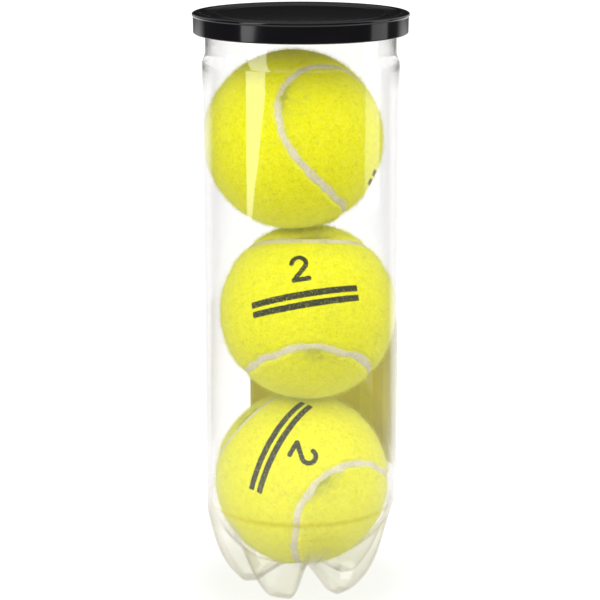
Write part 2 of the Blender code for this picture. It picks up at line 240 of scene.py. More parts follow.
def face_outward(obj):
    """Turns a closed mesh's faces outward."""
    mesh = obj.data
    co = np.empty(len(mesh.vertices) * 3)
    mesh.vertices.foreach_get("co", co)
    co = co.reshape(-1, 3)
    mesh.calc_loop_triangles()
    tri = np.empty(len(mesh.loop_triangles) * 3, int)
    mesh.loop_triangles.foreach_get("vertices", tri)
    a, b, c = (co[tri.reshape(-1, 3)[:, k]] for k in range(3))
    if np.einsum("ij,ij->", a, np.cross(b, c)) < 0:
        mesh.flip_normals()


# ---------------------------------------- material helpers


def new_material(name):
    """A material, its node tree and its Principled shader."""
    material = bpy.data.materials.new(name)
    material.use_nodes = True
    tree = material.node_tree
    return material, tree, tree.nodes["Principled BSDF"]


def node(tree, kind, **settings):
    """A new node, with its properties set."""
    made = tree.nodes.new(kind)
    for key, value in settings.items():
        setattr(made, key, value)
    return made


def plug(tree, source, target):
    tree.links.new(source, target)


def noise_tex(tree, scale, detail=2.0, rough=0.5, vector=None):
    """Noise at a scale in cycles per metre of the object's own space."""
    made = node(tree, "ShaderNodeTexNoise")
    made.inputs["Scale"].default_value = scale
    made.inputs["Detail"].default_value = detail
    made.inputs["Roughness"].default_value = rough
    if vector is None:
        vector = node(tree, "ShaderNodeTexCoord").outputs["Object"]
    plug(tree, vector, made.inputs["Vector"])
    return made.outputs["Fac"]


def ramp(tree, factor, stops, interpolation="LINEAR"):
    """A colour ramp. A stop is (place, colour), and its colour may be one number for a grey."""
    made = node(tree, "ShaderNodeValToRGB")
    made.color_ramp.interpolation = interpolation
    elements = made.color_ramp.elements
    while len(elements) < len(stops):
        elements.new(0.5)
    for element, (at, colour) in zip(elements, stops):
        if isinstance(colour, (int, float)):
            colour = (colour, colour, colour)
        element.position = at
        element.color = (*colour, 1.0)
    plug(tree, factor, made.inputs["Fac"])
    return made.outputs["Color"]


def math_node(tree, kind, a, b=None, c=None):
    """Arithmetic on numbers or sockets."""
    made = node(tree, "ShaderNodeMath", operation=kind)
    for index, value in enumerate((a, b, c)):
        if value is None:
            continue
        if isinstance(value, (int, float)):
            made.inputs[index].default_value = value
        else:
            plug(tree, value, made.inputs[index])
    return made.outputs[0]


def mix_colour(tree, factor, a, b):
    """From colour a at factor 0 to colour b at 1."""
    made = node(tree, "ShaderNodeMix", data_type="RGBA")
    for index, value in ((0, factor), (6, a), (7, b)):
        if isinstance(value, (int, float)):
            made.inputs[index].default_value = value
        elif isinstance(value, tuple):
            made.inputs[index].default_value = (*value, 1.0)
        else:
            plug(tree, value, made.inputs[index])
    return made.outputs[2]


def bump(tree, height, distance, strength=1.0):
    """A bumped normal. The distance is in metres."""
    made = node(tree, "ShaderNodeBump")
    made.inputs["Strength"].default_value = strength
    made.inputs["Distance"].default_value = distance
    plug(tree, height, made.inputs["Height"])
    return made.outputs["Normal"]


def spread(tree, factor, low, high, start=0.0, end=1.0):
    """Maps a factor's start..end to low..high, held at the ends."""
    made = node(tree, "ShaderNodeMapRange")
    plug(tree, factor, made.inputs["Value"])
    made.inputs["From Min"].default_value = start
    made.inputs["From Max"].default_value = end
    made.inputs["To Min"].default_value = low
    made.inputs["To Max"].default_value = high
    return made.outputs["Result"]


def object_xyz(tree):
    """The object-space place in metres, whole and split into X, Y and Z."""
    coords = node(tree, "ShaderNodeTexCoord").outputs["Object"]
    split = node(tree, "ShaderNodeSeparateXYZ")
    plug(tree, coords, split.inputs[0])
    return coords, split.outputs


def seen_by(tree, ray, value, instead):
    """A value, or another where the ray is of the kind that a Light Path output tells."""
    drop = math_node(tree, "MULTIPLY", ray, math_node(tree, "SUBTRACT", value, instead))
    return math_node(tree, "SUBTRACT", value, drop)


# ---------------------------------------- materials


def clear_pet_material():
    """A thin clear wall. Each face mirrors its Fresnel share and lets the rest straight through.
    Painted shade greys it where it is seen edge on and deepens to straw in the thicker base, and a
    painted ring at the crease stands in for the ball's yellow bent through it."""
    material, tree, shader = new_material("clear_pet")
    tree.nodes.remove(shader)
    facing = node(tree, "ShaderNodeLayerWeight").outputs["Facing"]
    z = object_xyz(tree)[1]["Z"]
    # The wall: almost clear, with painted shade that greys it edge on.
    cloud = noise_tex(tree, 25.0)
    haze = ramp(tree, cloud, [(0.3, (0.990, 0.990, 0.988)), (0.7, (0.996, 0.996, 0.994))])
    tint = mix_colour(tree, math_node(tree, "POWER", facing, 3.0), haze, (0.89, 0.88, 0.865))
    # The thicker base: painted straw-coloured shade edge on, for ball light bent through the feet.
    base_shade_mask = math_node(tree, "POWER", facing, 4.0)
    painted_base_shade = mix_colour(tree, base_shade_mask, (0.984, 0.982, 0.962), (0.62, 0.57, 0.44))
    tint = mix_colour(tree, spread(tree, z, 1.0, 0.0, *BASE_SHADE_Z), tint, painted_base_shade)
    # The crease: a thin painted ring of bent yellow ball light that shows face on.
    away = math_node(tree, "ABSOLUTE", math_node(tree, "SUBTRACT", z, CREASE_Z * MM))
    ring = spread(tree, away, 1.0, 0.0, 0.0, PAINTED_RING_HALF)
    ring = math_node(tree, "MULTIPLY", ring, math_node(tree, "SUBTRACT", 1.0, facing))
    tint = mix_colour(tree, ring, tint, (0.91, 0.88, 0.62))
    clear = node(tree, "ShaderNodeBsdfTransparent")
    plug(tree, tint, clear.inputs["Color"])
    gloss = node(tree, "ShaderNodeBsdfGlossy")
    gloss.inputs["Color"].default_value = (1.0, 1.0, 1.0, 1.0)
    plug(tree, spread(tree, noise_tex(tree, 60.0), 0.015, 0.05), gloss.inputs["Roughness"])
    grazing = math_node(tree, "POWER", facing, 5.0)
    share = math_node(tree, "MULTIPLY_ADD", grazing, 1.0 - PET_MIRROR, PET_MIRROR)
    mix = node(tree, "ShaderNodeMixShader")
    plug(tree, share, mix.inputs[0])
    plug(tree, clear.outputs[0], mix.inputs[1])
    plug(tree, gloss.outputs[0], mix.inputs[2])
    plug(tree, mix.outputs[0], tree.nodes["Material Output"].inputs["Surface"])
    return material


def black_plastic_material():
    """Glossy moulded polyethylene with a faint mottle and a very fine grain."""
    material, tree, shader = new_material("black_plastic")
    mottle = noise_tex(tree, 90.0, 4.0)
    colour = ramp(tree, mottle, [
        (0.35, (0.0018, 0.0014, 0.0022)),
        (0.75, (0.0036, 0.0029, 0.0036)),
    ])
    plug(tree, colour, shader.inputs["Base Color"])
    fine = noise_tex(tree, 700.0, 3.0, 0.6)
    plug(tree, spread(tree, fine, 0.08, 0.15), shader.inputs["Roughness"])
    grain = bump(tree, noise_tex(tree, 1500.0, 2.0), 0.000002)
    plug(tree, grain, shader.inputs["Normal"])
    shader.inputs["Specular IOR Level"].default_value = 0.5
    return material


def metal_material(name, base, rough, streak):
    """Bare sheet metal with rolling lines: streak is the noise's scale along X, Y and Z."""
    material, tree, shader = new_material(name)
    mapping = node(tree, "ShaderNodeMapping")
    mapping.inputs["Scale"].default_value = streak
    plug(tree, object_xyz(tree)[0], mapping.inputs["Vector"])
    lines = noise_tex(tree, 1.0, 3.0, 0.6, mapping.outputs[0])
    dark = tuple(c * 0.86 for c in base)
    plug(tree, ramp(tree, lines, [(0.3, dark), (0.7, base)]), shader.inputs["Base Color"])
    plug(tree, spread(tree, lines, *rough), shader.inputs["Roughness"])
    plug(tree, bump(tree, lines, 0.00001), shader.inputs["Normal"])
    shader.inputs["Metallic"].default_value = 1.0
    return material


def rubber_material(name, colour):
    """Matt moulded rubber with a fine speck."""
    material, tree, shader = new_material(name)
    speck = noise_tex(tree, 500.0, 4.0)
    light = tuple(min(1.0, c * 1.3) for c in colour)
    plug(tree, ramp(tree, speck, [(0.35, colour), (0.75, light)]), shader.inputs["Base Color"])
    plug(tree, spread(tree, speck, 0.65, 0.85), shader.inputs["Roughness"])
    plug(tree, bump(tree, speck, 0.00008), shader.inputs["Normal"])
    return material


def felt_material():
    """Needle felt: woolly clumps and finer fibre, paler by the seam, a painted sheen edge on, and
    the print.
    """
    material, tree, shader = new_material("felt")
    clumps = noise_tex(tree, 480.0, 4.0, 0.65)
    fibres = noise_tex(tree, 1250.0, 4.0, 0.75)
    both = math_node(tree, "MULTIPLY_ADD", fibres, 0.6, math_node(tree, "MULTIPLY", clumps, 0.4))
    colour = ramp(tree, both, [
        (0.34, (0.630, 0.635, 0.002)),
        (0.46, (0.810, 0.800, 0.003)),
        (0.54, (0.875, 0.855, 0.005)),
        (0.68, (0.920, 0.910, 0.100)),
    ])
    gap = node(tree, "ShaderNodeAttribute", attribute_name="seam_gap")
    worn = spread(tree, gap.outputs["Fac"], 0.3, 0.0, 0.8, 2.6)
    colour = mix_colour(tree, worn, colour, (0.82, 0.80, 0.42))
    # Painted sheen: paler yellow edge on, for light that shines through the fuzz at the
    # silhouettes.
    rim = math_node(tree, "POWER", node(tree, "ShaderNodeLayerWeight").outputs["Facing"], 2.5)
    colour = mix_colour(tree, math_node(tree, "MULTIPLY", rim, 0.8), colour, (0.95, 0.95, 0.24))
    # The print: a slightly ragged edge, worn through in specks.
    ink = node(tree, "ShaderNodeAttribute", attribute_name="ink")
    ragged = math_node(tree, "MULTIPLY_ADD", noise_tex(tree, 1500.0, 2.0), 0.5, -0.25)
    depth = math_node(tree, "ADD", ink.outputs["Fac"], ragged)
    bare = ramp(tree, noise_tex(tree, 900.0, 3.0), [(0.60, 1.0), (0.82, 0.72)])
    mask = math_node(tree, "MULTIPLY", spread(tree, depth, 0.0, 1.0, -0.12, 0.16), bare)
    inked = ramp(tree, fibres, [(0.3, (0.020, 0.024, 0.014)), (0.75, (0.075, 0.080, 0.030))])
    plug(tree, mix_colour(tree, mask, colour, inked), shader.inputs["Base Color"])
    plug(tree, spread(tree, fibres, 0.8, 1.0), shader.inputs["Roughness"])
    plug(tree, bump(tree, both, 0.0005, 0.6), shader.inputs["Normal"])
    shader.inputs["Specular IOR Level"].default_value = 0.15
    shader.inputs["Sheen Weight"].default_value = 0.12
    shader.inputs["Sheen Roughness"].default_value = 0.3
    shader.inputs["Sheen Tint"].default_value = (0.95, 1.0, 0.55, 1.0)
    return material


def nap_material():
    """The loose hairs that stand out of the felt."""
    material, tree, shader = new_material("felt_nap")
    hairs = noise_tex(tree, 900.0, 2.0)
    colour = ramp(tree, hairs, [(0.3, (0.88, 0.89, 0.02)), (0.7, (0.95, 0.96, 0.20))])
    plug(tree, colour, shader.inputs["Base Color"])
    plug(tree, spread(tree, hairs, 0.75, 0.95), shader.inputs["Roughness"])
    shader.inputs["Specular IOR Level"].default_value = 0.2
    shader.inputs["Sheen Weight"].default_value = 0.5
    shader.inputs["Sheen Tint"].default_value = (0.95, 1.0, 0.6, 1.0)
    return material


def seam_material():
    """Dried seam cement: gritty, and stained in broader patches."""
    material, tree, shader = new_material("seam_cement")
    grit = noise_tex(tree, 1400.0, 4.0, 0.65)
    broad = noise_tex(tree, 180.0, 2.0)
    both = math_node(tree, "MULTIPLY_ADD", grit, 0.6, math_node(tree, "MULTIPLY", broad, 0.4))
    colour = ramp(tree, both, [
        (0.30, (0.52, 0.49, 0.30)),
        (0.50, (0.72, 0.68, 0.50)),
        (0.70, (0.84, 0.81, 0.66)),
    ])
    plug(tree, colour, shader.inputs["Base Color"])
    plug(tree, spread(tree, grit, 0.6, 0.85), shader.inputs["Roughness"])
    plug(tree, bump(tree, grit, 0.00015), shader.inputs["Normal"])
    return material


def label_material():
    """Printed film: plain bands across the can, pale ends and a fine slanting hatch."""
    material, tree, shader = new_material("label")
    across = node(tree, "ShaderNodeAttribute", attribute_name="across").outputs["Fac"]
    bands = ramp(tree, across, [
        (0.0, (0.86, 0.83, 0.50)),
        (0.012, (0.80, 0.69, 0.05)),
        (0.47, (0.74, 0.62, 0.012)),
        (0.60, (0.84, 0.72, 0.05)),
        (0.69, (0.74, 0.60, 0.002)),
        (0.78, (0.88, 0.76, 0.06)),
        (0.985, (0.93, 0.90, 0.70)),
    ], "CONSTANT")
    wave = node(tree, "ShaderNodeTexWave", wave_type="BANDS", bands_direction="DIAGONAL")
    wave.inputs["Scale"].default_value = 330.0
    wave.inputs["Distortion"].default_value = 0.4
    plug(tree, object_xyz(tree)[0], wave.inputs["Vector"])
    hatch = math_node(tree, "MULTIPLY", wave.outputs["Fac"], 0.25)
    plug(tree, mix_colour(tree, hatch, bands, (0.62, 0.55, 0.10)), shader.inputs["Base Color"])
    plug(tree, spread(tree, noise_tex(tree, 300.0, 3.0), 0.32, 0.5), shader.inputs["Roughness"])
    plug(tree, bump(tree, noise_tex(tree, 120.0, 2.0), 0.00008), shader.inputs["Normal"])
    shader.inputs["Subsurface Weight"].default_value = 0.8
    shader.inputs["Subsurface Radius"].default_value = (1.0, 0.85, 0.1)
    shader.inputs["Subsurface Scale"].default_value = 0.002
    return material


def floor_material():
    """A sweep lit to white, a little shaded round the feet. In reflections it is bright near the
    can and straight behind it, and it lights the can less than it looks."""
    material, tree, shader = new_material("floor")
    tone = ramp(tree, noise_tex(tree, 3.0, 2.0), [(0.3, 0.018), (0.7, 0.022)])
    plug(tree, tone, shader.inputs["Base Color"])
    shader.inputs["Roughness"].default_value = 0.9
    shader.inputs["Specular IOR Level"].default_value = 0.1
    coords, where = object_xyz(tree)
    distance = node(tree, "ShaderNodeVectorMath", operation="LENGTH")
    plug(tree, coords, distance.inputs[0])
    distance = distance.outputs["Value"]
    shade = ramp(tree, distance, [
        (0.0, (0.76, 0.765, 0.71)),
        (0.032, (0.78, 0.785, 0.74)),
        (0.044, (0.83, 0.833, 0.82)),
        (0.060, (1.0, 1.0, 1.0)),
    ])
    plug(tree, shade, shader.inputs["Emission Color"])
    near = ramp(tree, distance, [(0.0, 1.1), (0.17, 1.0), (0.42, 0.3), (0.9, 0.05)])
    back = spread(tree, math_node(tree, "DIVIDE", where["Y"], distance), 0.0, 1.15, 0.53, 0.72)
    far = spread(tree, distance, 1.0, 0.15, 1.4, 1.75)
    mirrored = math_node(tree, "MAXIMUM", near, math_node(tree, "MULTIPLY", back, far))
    path = node(tree, "ShaderNodeLightPath")
    glow = seen_by(tree, path.outputs["Is Glossy Ray"], FLOOR_GLOW, mirrored)
    softer = math_node(tree, "MULTIPLY", path.outputs["Is Diffuse Ray"], FLOOR_GLOW - FLOOR_LIGHT)
    plug(tree, math_node(tree, "SUBTRACT", glow, softer), shader.inputs["Emission Strength"])
    return material


# ---------------------------------------- the can's body


def foot_curve(share):
    """The foot profile read smoothly at 0 (crease) to 1 (the dome's middle)."""
    table = np.array(FOOT_PROFILE)
    at = np.clip(share * (len(table) - 1), 0, len(table) - 1 - 1e-9)
    i = np.floor(at).astype(int)
    t = (at - i)[:, None]
    p = [table[np.clip(i + k, 0, len(table) - 1)] for k in (-1, 0, 1, 2)]
    return 0.5 * (
        2 * p[1] + (p[2] - p[0]) * t + (2 * p[0] - 5 * p[1] + 4 * p[2] - p[3]) * t**2
        + (3 * p[1] - p[0] - 3 * p[2] + p[3]) * t**3
    )


def dome_sphere():
    """The radius and the centre's height of the dome that the feet are blown out of."""
    depth = CREASE_Z - DOME_Z
    radius = (CAN_R**2 + depth**2) / (2 * depth)
    return radius, DOME_Z + radius


def can_profile():
    """The (r, z) line from the flange's edge over the neck and shoulder and down the wall."""
    neck = rounded([
        (FLANGE_R, FLANGE_Z - 1.05),
        (FLANGE_R, FLANGE_Z, 0.35),
        (35.9, FLANGE_Z, 0.35),
        (35.9, FLANGE_Z - 1.25),
        (NECK_R, FLANGE_Z - 2.35, 1.0),
        (NECK_R, SHOULDER_TOP_Z),
    ], 0.5, 6)
    # The shoulder flares out ever more steeply, then turns quickly down into the wall.
    flare = []
    for u in np.linspace(1, 0, 16)[1:]:
        r = NECK_R + (SHOULDER_R - NECK_R) * (1 - u) ** SHOULDER_FLARE
        flare.append((r, SHOULDER_Z + (SHOULDER_TOP_Z - SHOULDER_Z) * u))
    bend = rounded([
        (SHOULDER_R, SHOULDER_Z),
        (SHOULDER_R + 0.2, SHOULDER_Z - 0.2),
        (SHOULDER_R + 0.26, SHOULDER_Z - 0.8),
        (CAN_R, SHOULDER_Z - 2.6),
        (CAN_R, SHOULDER_Z - 9.0),
    ], 0.6)[1:]
    wall = [(CAN_R, z) for z in np.linspace(SHOULDER_Z - 9.0, CREASE_Z + 2.0, 90)][1:]
    return neck + flare + bend + wall


def wall_ring(r, z, cos, sin):
    """A ring of points round the can, a little wavy along the straight wall."""
    ripple = np.array([noise.noise(Vector((c * 1.4, s * 1.4, z * 0.03))) for c, s in zip(cos, sin)])
    fade = float(smooth((SHOULDER_Z - 2 - z) / 15)) * float(smooth((z - CREASE_Z) / 10))
    radius = r + WALL_RIPPLE * fade * ripple
    return np.stack([radius * cos, radius * sin, np.full(CAN_STEPS, z)], 1)


def base_rings(angles, cos, sin):
    """Rings from the crease to the middle of the base: a dome, blown out into feet."""
    radius, centre_z = dome_sphere()
    ring_angle = math.asin(CAN_R / radius)
    pitch = 2 * math.pi / FOOT_COUNT
    azimuth = angles + math.pi / 2
    off = np.abs((azimuth - FOOT_AZIMUTH + pitch / 2) % pitch - pitch / 2) / (pitch / 2)
    weight = 1 - smooth((off - FOOT_FLAT) / (FOOT_SIDE - FOOT_FLAT)) ** 1.5
    rings = []
    for i in range(BASE_ROWS):
        share = i / BASE_ROWS
        angle = ring_angle * (1 - share)
        dome_r, dome_z = radius * math.sin(angle), centre_z - radius * math.cos(angle)
        foot_r, foot_z = foot_curve(np.array([share]))[0]
        r = dome_r + weight * (foot_r - dome_r)
        z = dome_z + weight * (max(foot_z, 0.0) - dome_z)
        rings.append(np.stack([r * cos, r * sin, z], 1))
    return rings


def build_can(material):
    """The can's outer skin, closed at the base and open at the neck, thickened inward."""
    angles = np.arange(CAN_STEPS) * (2 * math.pi / CAN_STEPS)
    cos, sin = np.cos(angles), np.sin(angles)
    rings = [wall_ring(r, z, cos, sin) for r, z in can_profile()] + base_rings(angles, cos, sin)
    rows = len(rings)
    points = np.concatenate(rings + [np.array([[0.0, 0.0, DOME_Z]])])
    faces = tube_faces(rows, CAN_STEPS)
    last = (rows - 1) * CAN_STEPS
    for k in range(CAN_STEPS):
        faces.append((last + k, rows * CAN_STEPS, last + (k + 1) % CAN_STEPS))
    can = add_mesh("clear_can", points, faces, material)
    shell = can.modifiers.new("wall", "SOLIDIFY")
    shell.thickness = CAN_WALL * MM
    shell.offset = -1
    shell.use_even_offset = True
    return can


# ---------------------------------------- the balls


def seam_points(t):
    """The seam of a unit ball: one closed curve with four lobes."""
    a, b = SEAM_SHAPE, 1 - SEAM_SHAPE
    x = a * np.cos(t) + b * np.cos(3 * t)
    y = a * np.sin(t) - b * np.sin(3 * t)
    return np.stack([x, y, 2 * math.sqrt(a * b) * np.sin(2 * t)], -1)


def unit(v):
    return v / np.linalg.norm(v, axis=-1, keepdims=True)


def seam_sides(t):
    """Unit vectors across the seam, along the ball's surface."""
    along = seam_points(t + 0.001) - seam_points(t - 0.001)
    return unit(np.cross(seam_points(t), along))


def noise_at(points, scale, seed):
    """Smooth noise of about -1 to 1 at each point."""
    offset = Vector((seed, seed * 1.7, -seed))
    return np.array([noise.noise(Vector(p) * scale + offset) for p in points.tolist()])


def warp(directions, seed):
    """A small smooth shift of every direction, so that a ball's seam isn't a perfect curve."""
    shift = np.zeros_like(directions)
    for axis in range(3):
        shift[:, axis] += noise_at(directions, 3.6, seed + 11 * axis) * 0.035
        shift[:, axis] += noise_at(directions, 12.0, seed + 11 * axis + 5) * 0.016
    return unit(directions + shift)


def seam_tree():
    """The seam's points, to look up the nearest one."""
    t = np.linspace(0, 2 * math.pi, 2400, endpoint=False)
    tree = kdtree.KDTree(len(t))
    for i, p in enumerate(seam_points(t)):
        tree.insert(p, i)
    tree.balance()
    return tree


SEAM_TREE = seam_tree()


def seam_distance(directions):
    """How far each direction is from the seam's middle, in millimetres."""
    return np.array([SEAM_TREE.find(p)[2] for p in directions.tolist()]) * FELT_R


def print_distance(directions, centre, numeral):
    """Depth inside the print in millimetres: two bars, and a plain 2 over them. Outside it is
    negative. centre is the outward direction of the bars' middle, and numeral that of the 2."""
    n = unit(np.array(centre))
    up = np.array(numeral) - np.dot(numeral, n) * n
    up = up / np.linalg.norm(up)
    right = np.cross(up, n)
    angle = np.arccos(np.clip(directions @ n, -1, 1))
    stretch = FELT_R * angle / np.maximum(np.sin(angle), 1e-6)
    u, v = stretch * (directions @ right), stretch * (directions @ up)

    def dot(x, y):
        return STROKE_HALF - np.hypot(u - x, v - y)

    def stroke(ax, ay, bx, by):
        dx, dy = bx - ax, by - ay
        t = np.clip(((u - ax) * dx + (v - ay) * dy) / (dx * dx + dy * dy), 0, 1)
        return dot(ax + t * dx, ay + t * dy)

    def bar(middle):
        qx, qy = np.abs(u) - BAR_HALF_LENGTH, np.abs(v - middle) - BAR_HALF_HEIGHT
        return -(np.hypot(np.maximum(qx, 0), np.maximum(qy, 0)) + np.minimum(np.maximum(qx, qy), 0))

    # The 2: an arc from its tip over the top, a slanting stroke and a foot.
    tip, turn = math.pi - 0.15, -0.6
    bend = np.arctan2(v - BOWL_Y, u)
    on_arc = (bend > turn) & (bend < tip)
    arc_depth = np.where(on_arc, STROKE_HALF - np.abs(np.hypot(u, v - BOWL_Y) - BOWL_R), -99)
    depth = np.maximum.reduce([
        bar(BAR_Y),
        bar(-BAR_Y),
        arc_depth,
        dot(BOWL_R * math.cos(tip), BOWL_Y + BOWL_R * math.sin(tip)),
        stroke(BOWL_R * math.cos(turn), BOWL_Y + BOWL_R * math.sin(turn), -2.7, NUMERAL_FOOT_Y),
        stroke(-2.7, NUMERAL_FOOT_Y, 2.9, NUMERAL_FOOT_Y),
    ])
    return np.where(angle > PRINT_REACH, -9.0, depth)


def inside_can(points):
    """Presses points that stand too far out back inside the can's wall and its dome."""
    points = points.copy()
    limit = CAN_R - CAN_WALL - BALL_ROOM
    r = np.hypot(points[:, 0], points[:, 1])
    high = points[:, 2] > CREASE_Z
    out = high & (r > limit)
    points[out, :2] *= (limit / r[out])[:, None]
    radius, centre_z = dome_sphere()
    radius -= CAN_WALL + BALL_ROOM
    rel = points - np.array([0, 0, centre_z])
    far = np.linalg.norm(rel, axis=1)
    out = ~high & (far > radius)
    points[out] = np.array([0, 0, centre_z]) + rel[out] * (radius / far[out])[:, None]
    return points


def ball_frame(name):
    """The ball's centre in millimetres, from its two core halves, and its turn."""
    cores = []
    for half in ("a", "b"):
        mesh = NODES[f"{name}_ball_core_{half}"].data
        co = np.empty(len(mesh.vertices) * 3)
        mesh.vertices.foreach_get("co", co)
        cores.append(co.reshape(-1, 3))
    low = np.min([c.min(0) for c in cores], 0)
    high = np.max([c.max(0) for c in cores], 0)
    turn = Euler([math.radians(a) for a in BALL_TURN_DEG[name]]).to_matrix()
    return (low + high) / 2 / MM, np.array(turn)


def panel_edges(seed):
    """A felt panel's two long edges, uneven beside the seam, as rows of directions."""
    t = -math.pi / 4 + math.pi * np.arange(FELT_ROWS + 1) / FELT_ROWS
    middle, side = seam_points(t), seam_sides(t)
    mirror = np.array([[0, -1, 0], [-1, 0, 0], [0, 0, 1.0]])
    edges = []
    for flip in (0, 1):
        wave = noise_at(middle, 5.0, seed + 5 * flip) * 0.7
        wave += noise_at(middle, 14.0, seed + 7 * flip) * 0.45
        wave += noise_at(middle, 45.0, seed + 3 + flip) * 0.4
        inset = np.clip(FELT_EDGE + wave, *FELT_EDGE_LIMITS) / FELT_R
        edge = unit(middle + inset[:, None] * side)
        edges.append(edge if flip == 0 else edge @ mirror.T)
    left, right = edges
    right[0], right[-1] = left[0], left[-1]
    return left, right


def felt_radius(directions, gap, seed):
    """The felt's outer radius: lumps of two sizes, a broad unevenness and an edge rolled down."""
    clump = noise_at(directions, 30.0, seed) * 0.10 + noise_at(directions, 62.0, seed + 5) * 0.09
    broad = noise_at(directions, 5.0, seed + 9) * 0.08
    roll = 1 - smooth((gap - 0.7) / 2.2)
    return FELT_R + clump * (1 - 0.6 * roll) + broad - 0.55 * roll


def build_panel(name, panel, centre, turn, felt, nap, seed, warp_seed):
    """One felt panel and its hairs. Panel b is panel a turned half round about X."""
    rows, columns = FELT_ROWS, FELT_COLUMNS
    left, right = panel_edges(seed)
    omega = np.arccos(np.clip(np.sum(left * right, 1), -1, 1))[:, None, None]
    omega = np.maximum(omega, 1e-6)
    share = np.linspace(0, 1, columns + 1)[None, :, None]
    arcs = np.sin((1 - share) * omega) * left[:, None] + np.sin(share * omega) * right[:, None]
    arcs = unit((arcs / np.sin(omega))[1:-1])
    half = np.array([[1, 0, 0], [0, -1, 0], [0, 0, -1.0]]) if panel == "b" else np.eye(3)
    # The inner skin has fewer columns, and shares the outer one's rows.
    few = 6
    picks = np.linspace(0, columns, few + 1).round().astype(int)
    skins = []
    for body in (arcs, arcs[:, picks]):
        directions = np.concatenate([left[:1], body.reshape(-1, 3), left[-1:]]) @ half.T
        skins.append((warp(directions, warp_seed), seam_distance(directions)))
    (directions, gap), (inner_directions, inner_gap) = skins
    outer = directions * felt_radius(directions, gap, seed)[:, None]
    count = len(outer)
    faces = skin_faces(rows, columns, 0) + skin_faces(rows, few, count, flip=True)
    loop_out = boundary(rows, columns, 0)
    loop_in = boundary(rows, few, count)
    for i in range(len(loop_out)):
        j = (i + 1) % len(loop_out)
        faces.append((loop_out[j], loop_out[i], loop_in[i], loop_in[j]))
    points = np.concatenate([outer, inner_directions * FELT_INNER_R])
    piece = add_mesh(f"{name}_felt_{panel}", inside_can(points @ turn.T + centre), faces, felt)
    face_outward_about(piece, centre)
    ink = print_distance(np.concatenate([directions, inner_directions]) @ turn.T, *PRINT_AT[name])
    add_values(piece, "ink", ink)
    add_values(piece, "seam_gap", np.concatenate([gap, inner_gap]))
    hairs_name = f"{name}_nap_{panel}"
    ink = ink[:count]
    return piece, build_nap(hairs_name, outer, directions, gap, ink, centre, turn, nap, seed)


def skin_faces(rows, columns, base, flip=False):
    """Faces of a grid whose first and last rows are single points."""
    width = columns + 1
    faces = []
    for i in range(rows - 2):
        for k in range(columns):
            a = base + 1 + i * width + k
            faces.append((a, a + 1, a + width + 1, a + width))
    tail = base + 1 + (rows - 1) * width
    for k in range(columns):
        faces.append((base, base + 2 + k, base + 1 + k))
        a = base + 1 + (rows - 2) * width + k
        faces.append((a, a + 1, tail))
    return [f[::-1] for f in faces] if flip else faces


def boundary(rows, columns, base):
    """The loop of point numbers round such a grid."""
    width = columns + 1
    left = [base + 1 + i * width for i in range(rows - 1)]
    right = [base + 1 + i * width + columns for i in range(rows - 1)]
    return [base] + left + [base + 1 + (rows - 1) * width] + right[::-1]


def face_outward_about(obj, centre):
    """Turns the faces of a shell round a centre in millimetres outward."""
    obj.data.transform(Matrix.Translation(-Vector(centre * MM)))
    face_outward(obj)
    obj.data.transform(Matrix.Translation(Vector(centre * MM)))


def build_nap(name, outer, directions, gap, ink, centre, turn, material, seed):
    """Short bent hairs that stand out of the felt. Each is a closed three-sided spike."""
    rng = np.random.default_rng(int(seed * 10) + 1)
    # Hairs are fewer by the seam and on the print.
    chance = np.ones(len(outer))
    chance[gap < 1.3] = 0.4
    chance[ink > -0.3] = 0.25
    picks = rng.choice(len(outer), NAP_HAIRS, p=chance / chance.sum())
    root = outer[picks] - directions[picks] * 0.15
    normal = directions[picks]
    helper = unit(rng.normal(size=(NAP_HAIRS, 3)))
    tangent = unit(np.cross(normal, helper))
    lean = rng.uniform(0.2, 1.5, (NAP_HAIRS, 1))
    length = rng.uniform(0.8, 2.0, (NAP_HAIRS, 1)) + 1.2 * rng.random((NAP_HAIRS, 1)) ** 5
    first = unit(normal + tangent * lean)
    curl = unit(np.cross(normal, tangent)) * rng.normal(0, 0.7, (NAP_HAIRS, 1))
    second = unit(normal * 0.5 + tangent * lean + curl)
    knee = root + first * length * 0.55
    tip = knee + second * length * 0.6
    thick = rng.uniform(0.02, 0.038, (NAP_HAIRS, 1))
    across = unit(np.cross(first, curl + normal * 0.3 + 1e-3))
    other = unit(np.cross(first, across))
    rings = []
    for at, size in ((root, 1.0), (knee, 0.8)):
        for k in range(3):
            angle = 2 * math.pi * k / 3
            rings.append(at + (across * math.cos(angle) + other * math.sin(angle)) * thick * size)
    points = np.stack(rings + [tip], 1)
    world = inside_can(points.reshape(-1, 3) @ turn.T + centre)
    spike = [(2, 1, 0), (0, 1, 4, 3), (1, 2, 5, 4), (2, 0, 3, 5), (3, 4, 6), (4, 5, 6), (5, 3, 6)]
    faces = []
    for i in range(NAP_HAIRS):
        first_point = 7 * i
        faces.extend(tuple(first_point + q for q in face) for face in spike)
    return add_mesh(name, world, faces, material)


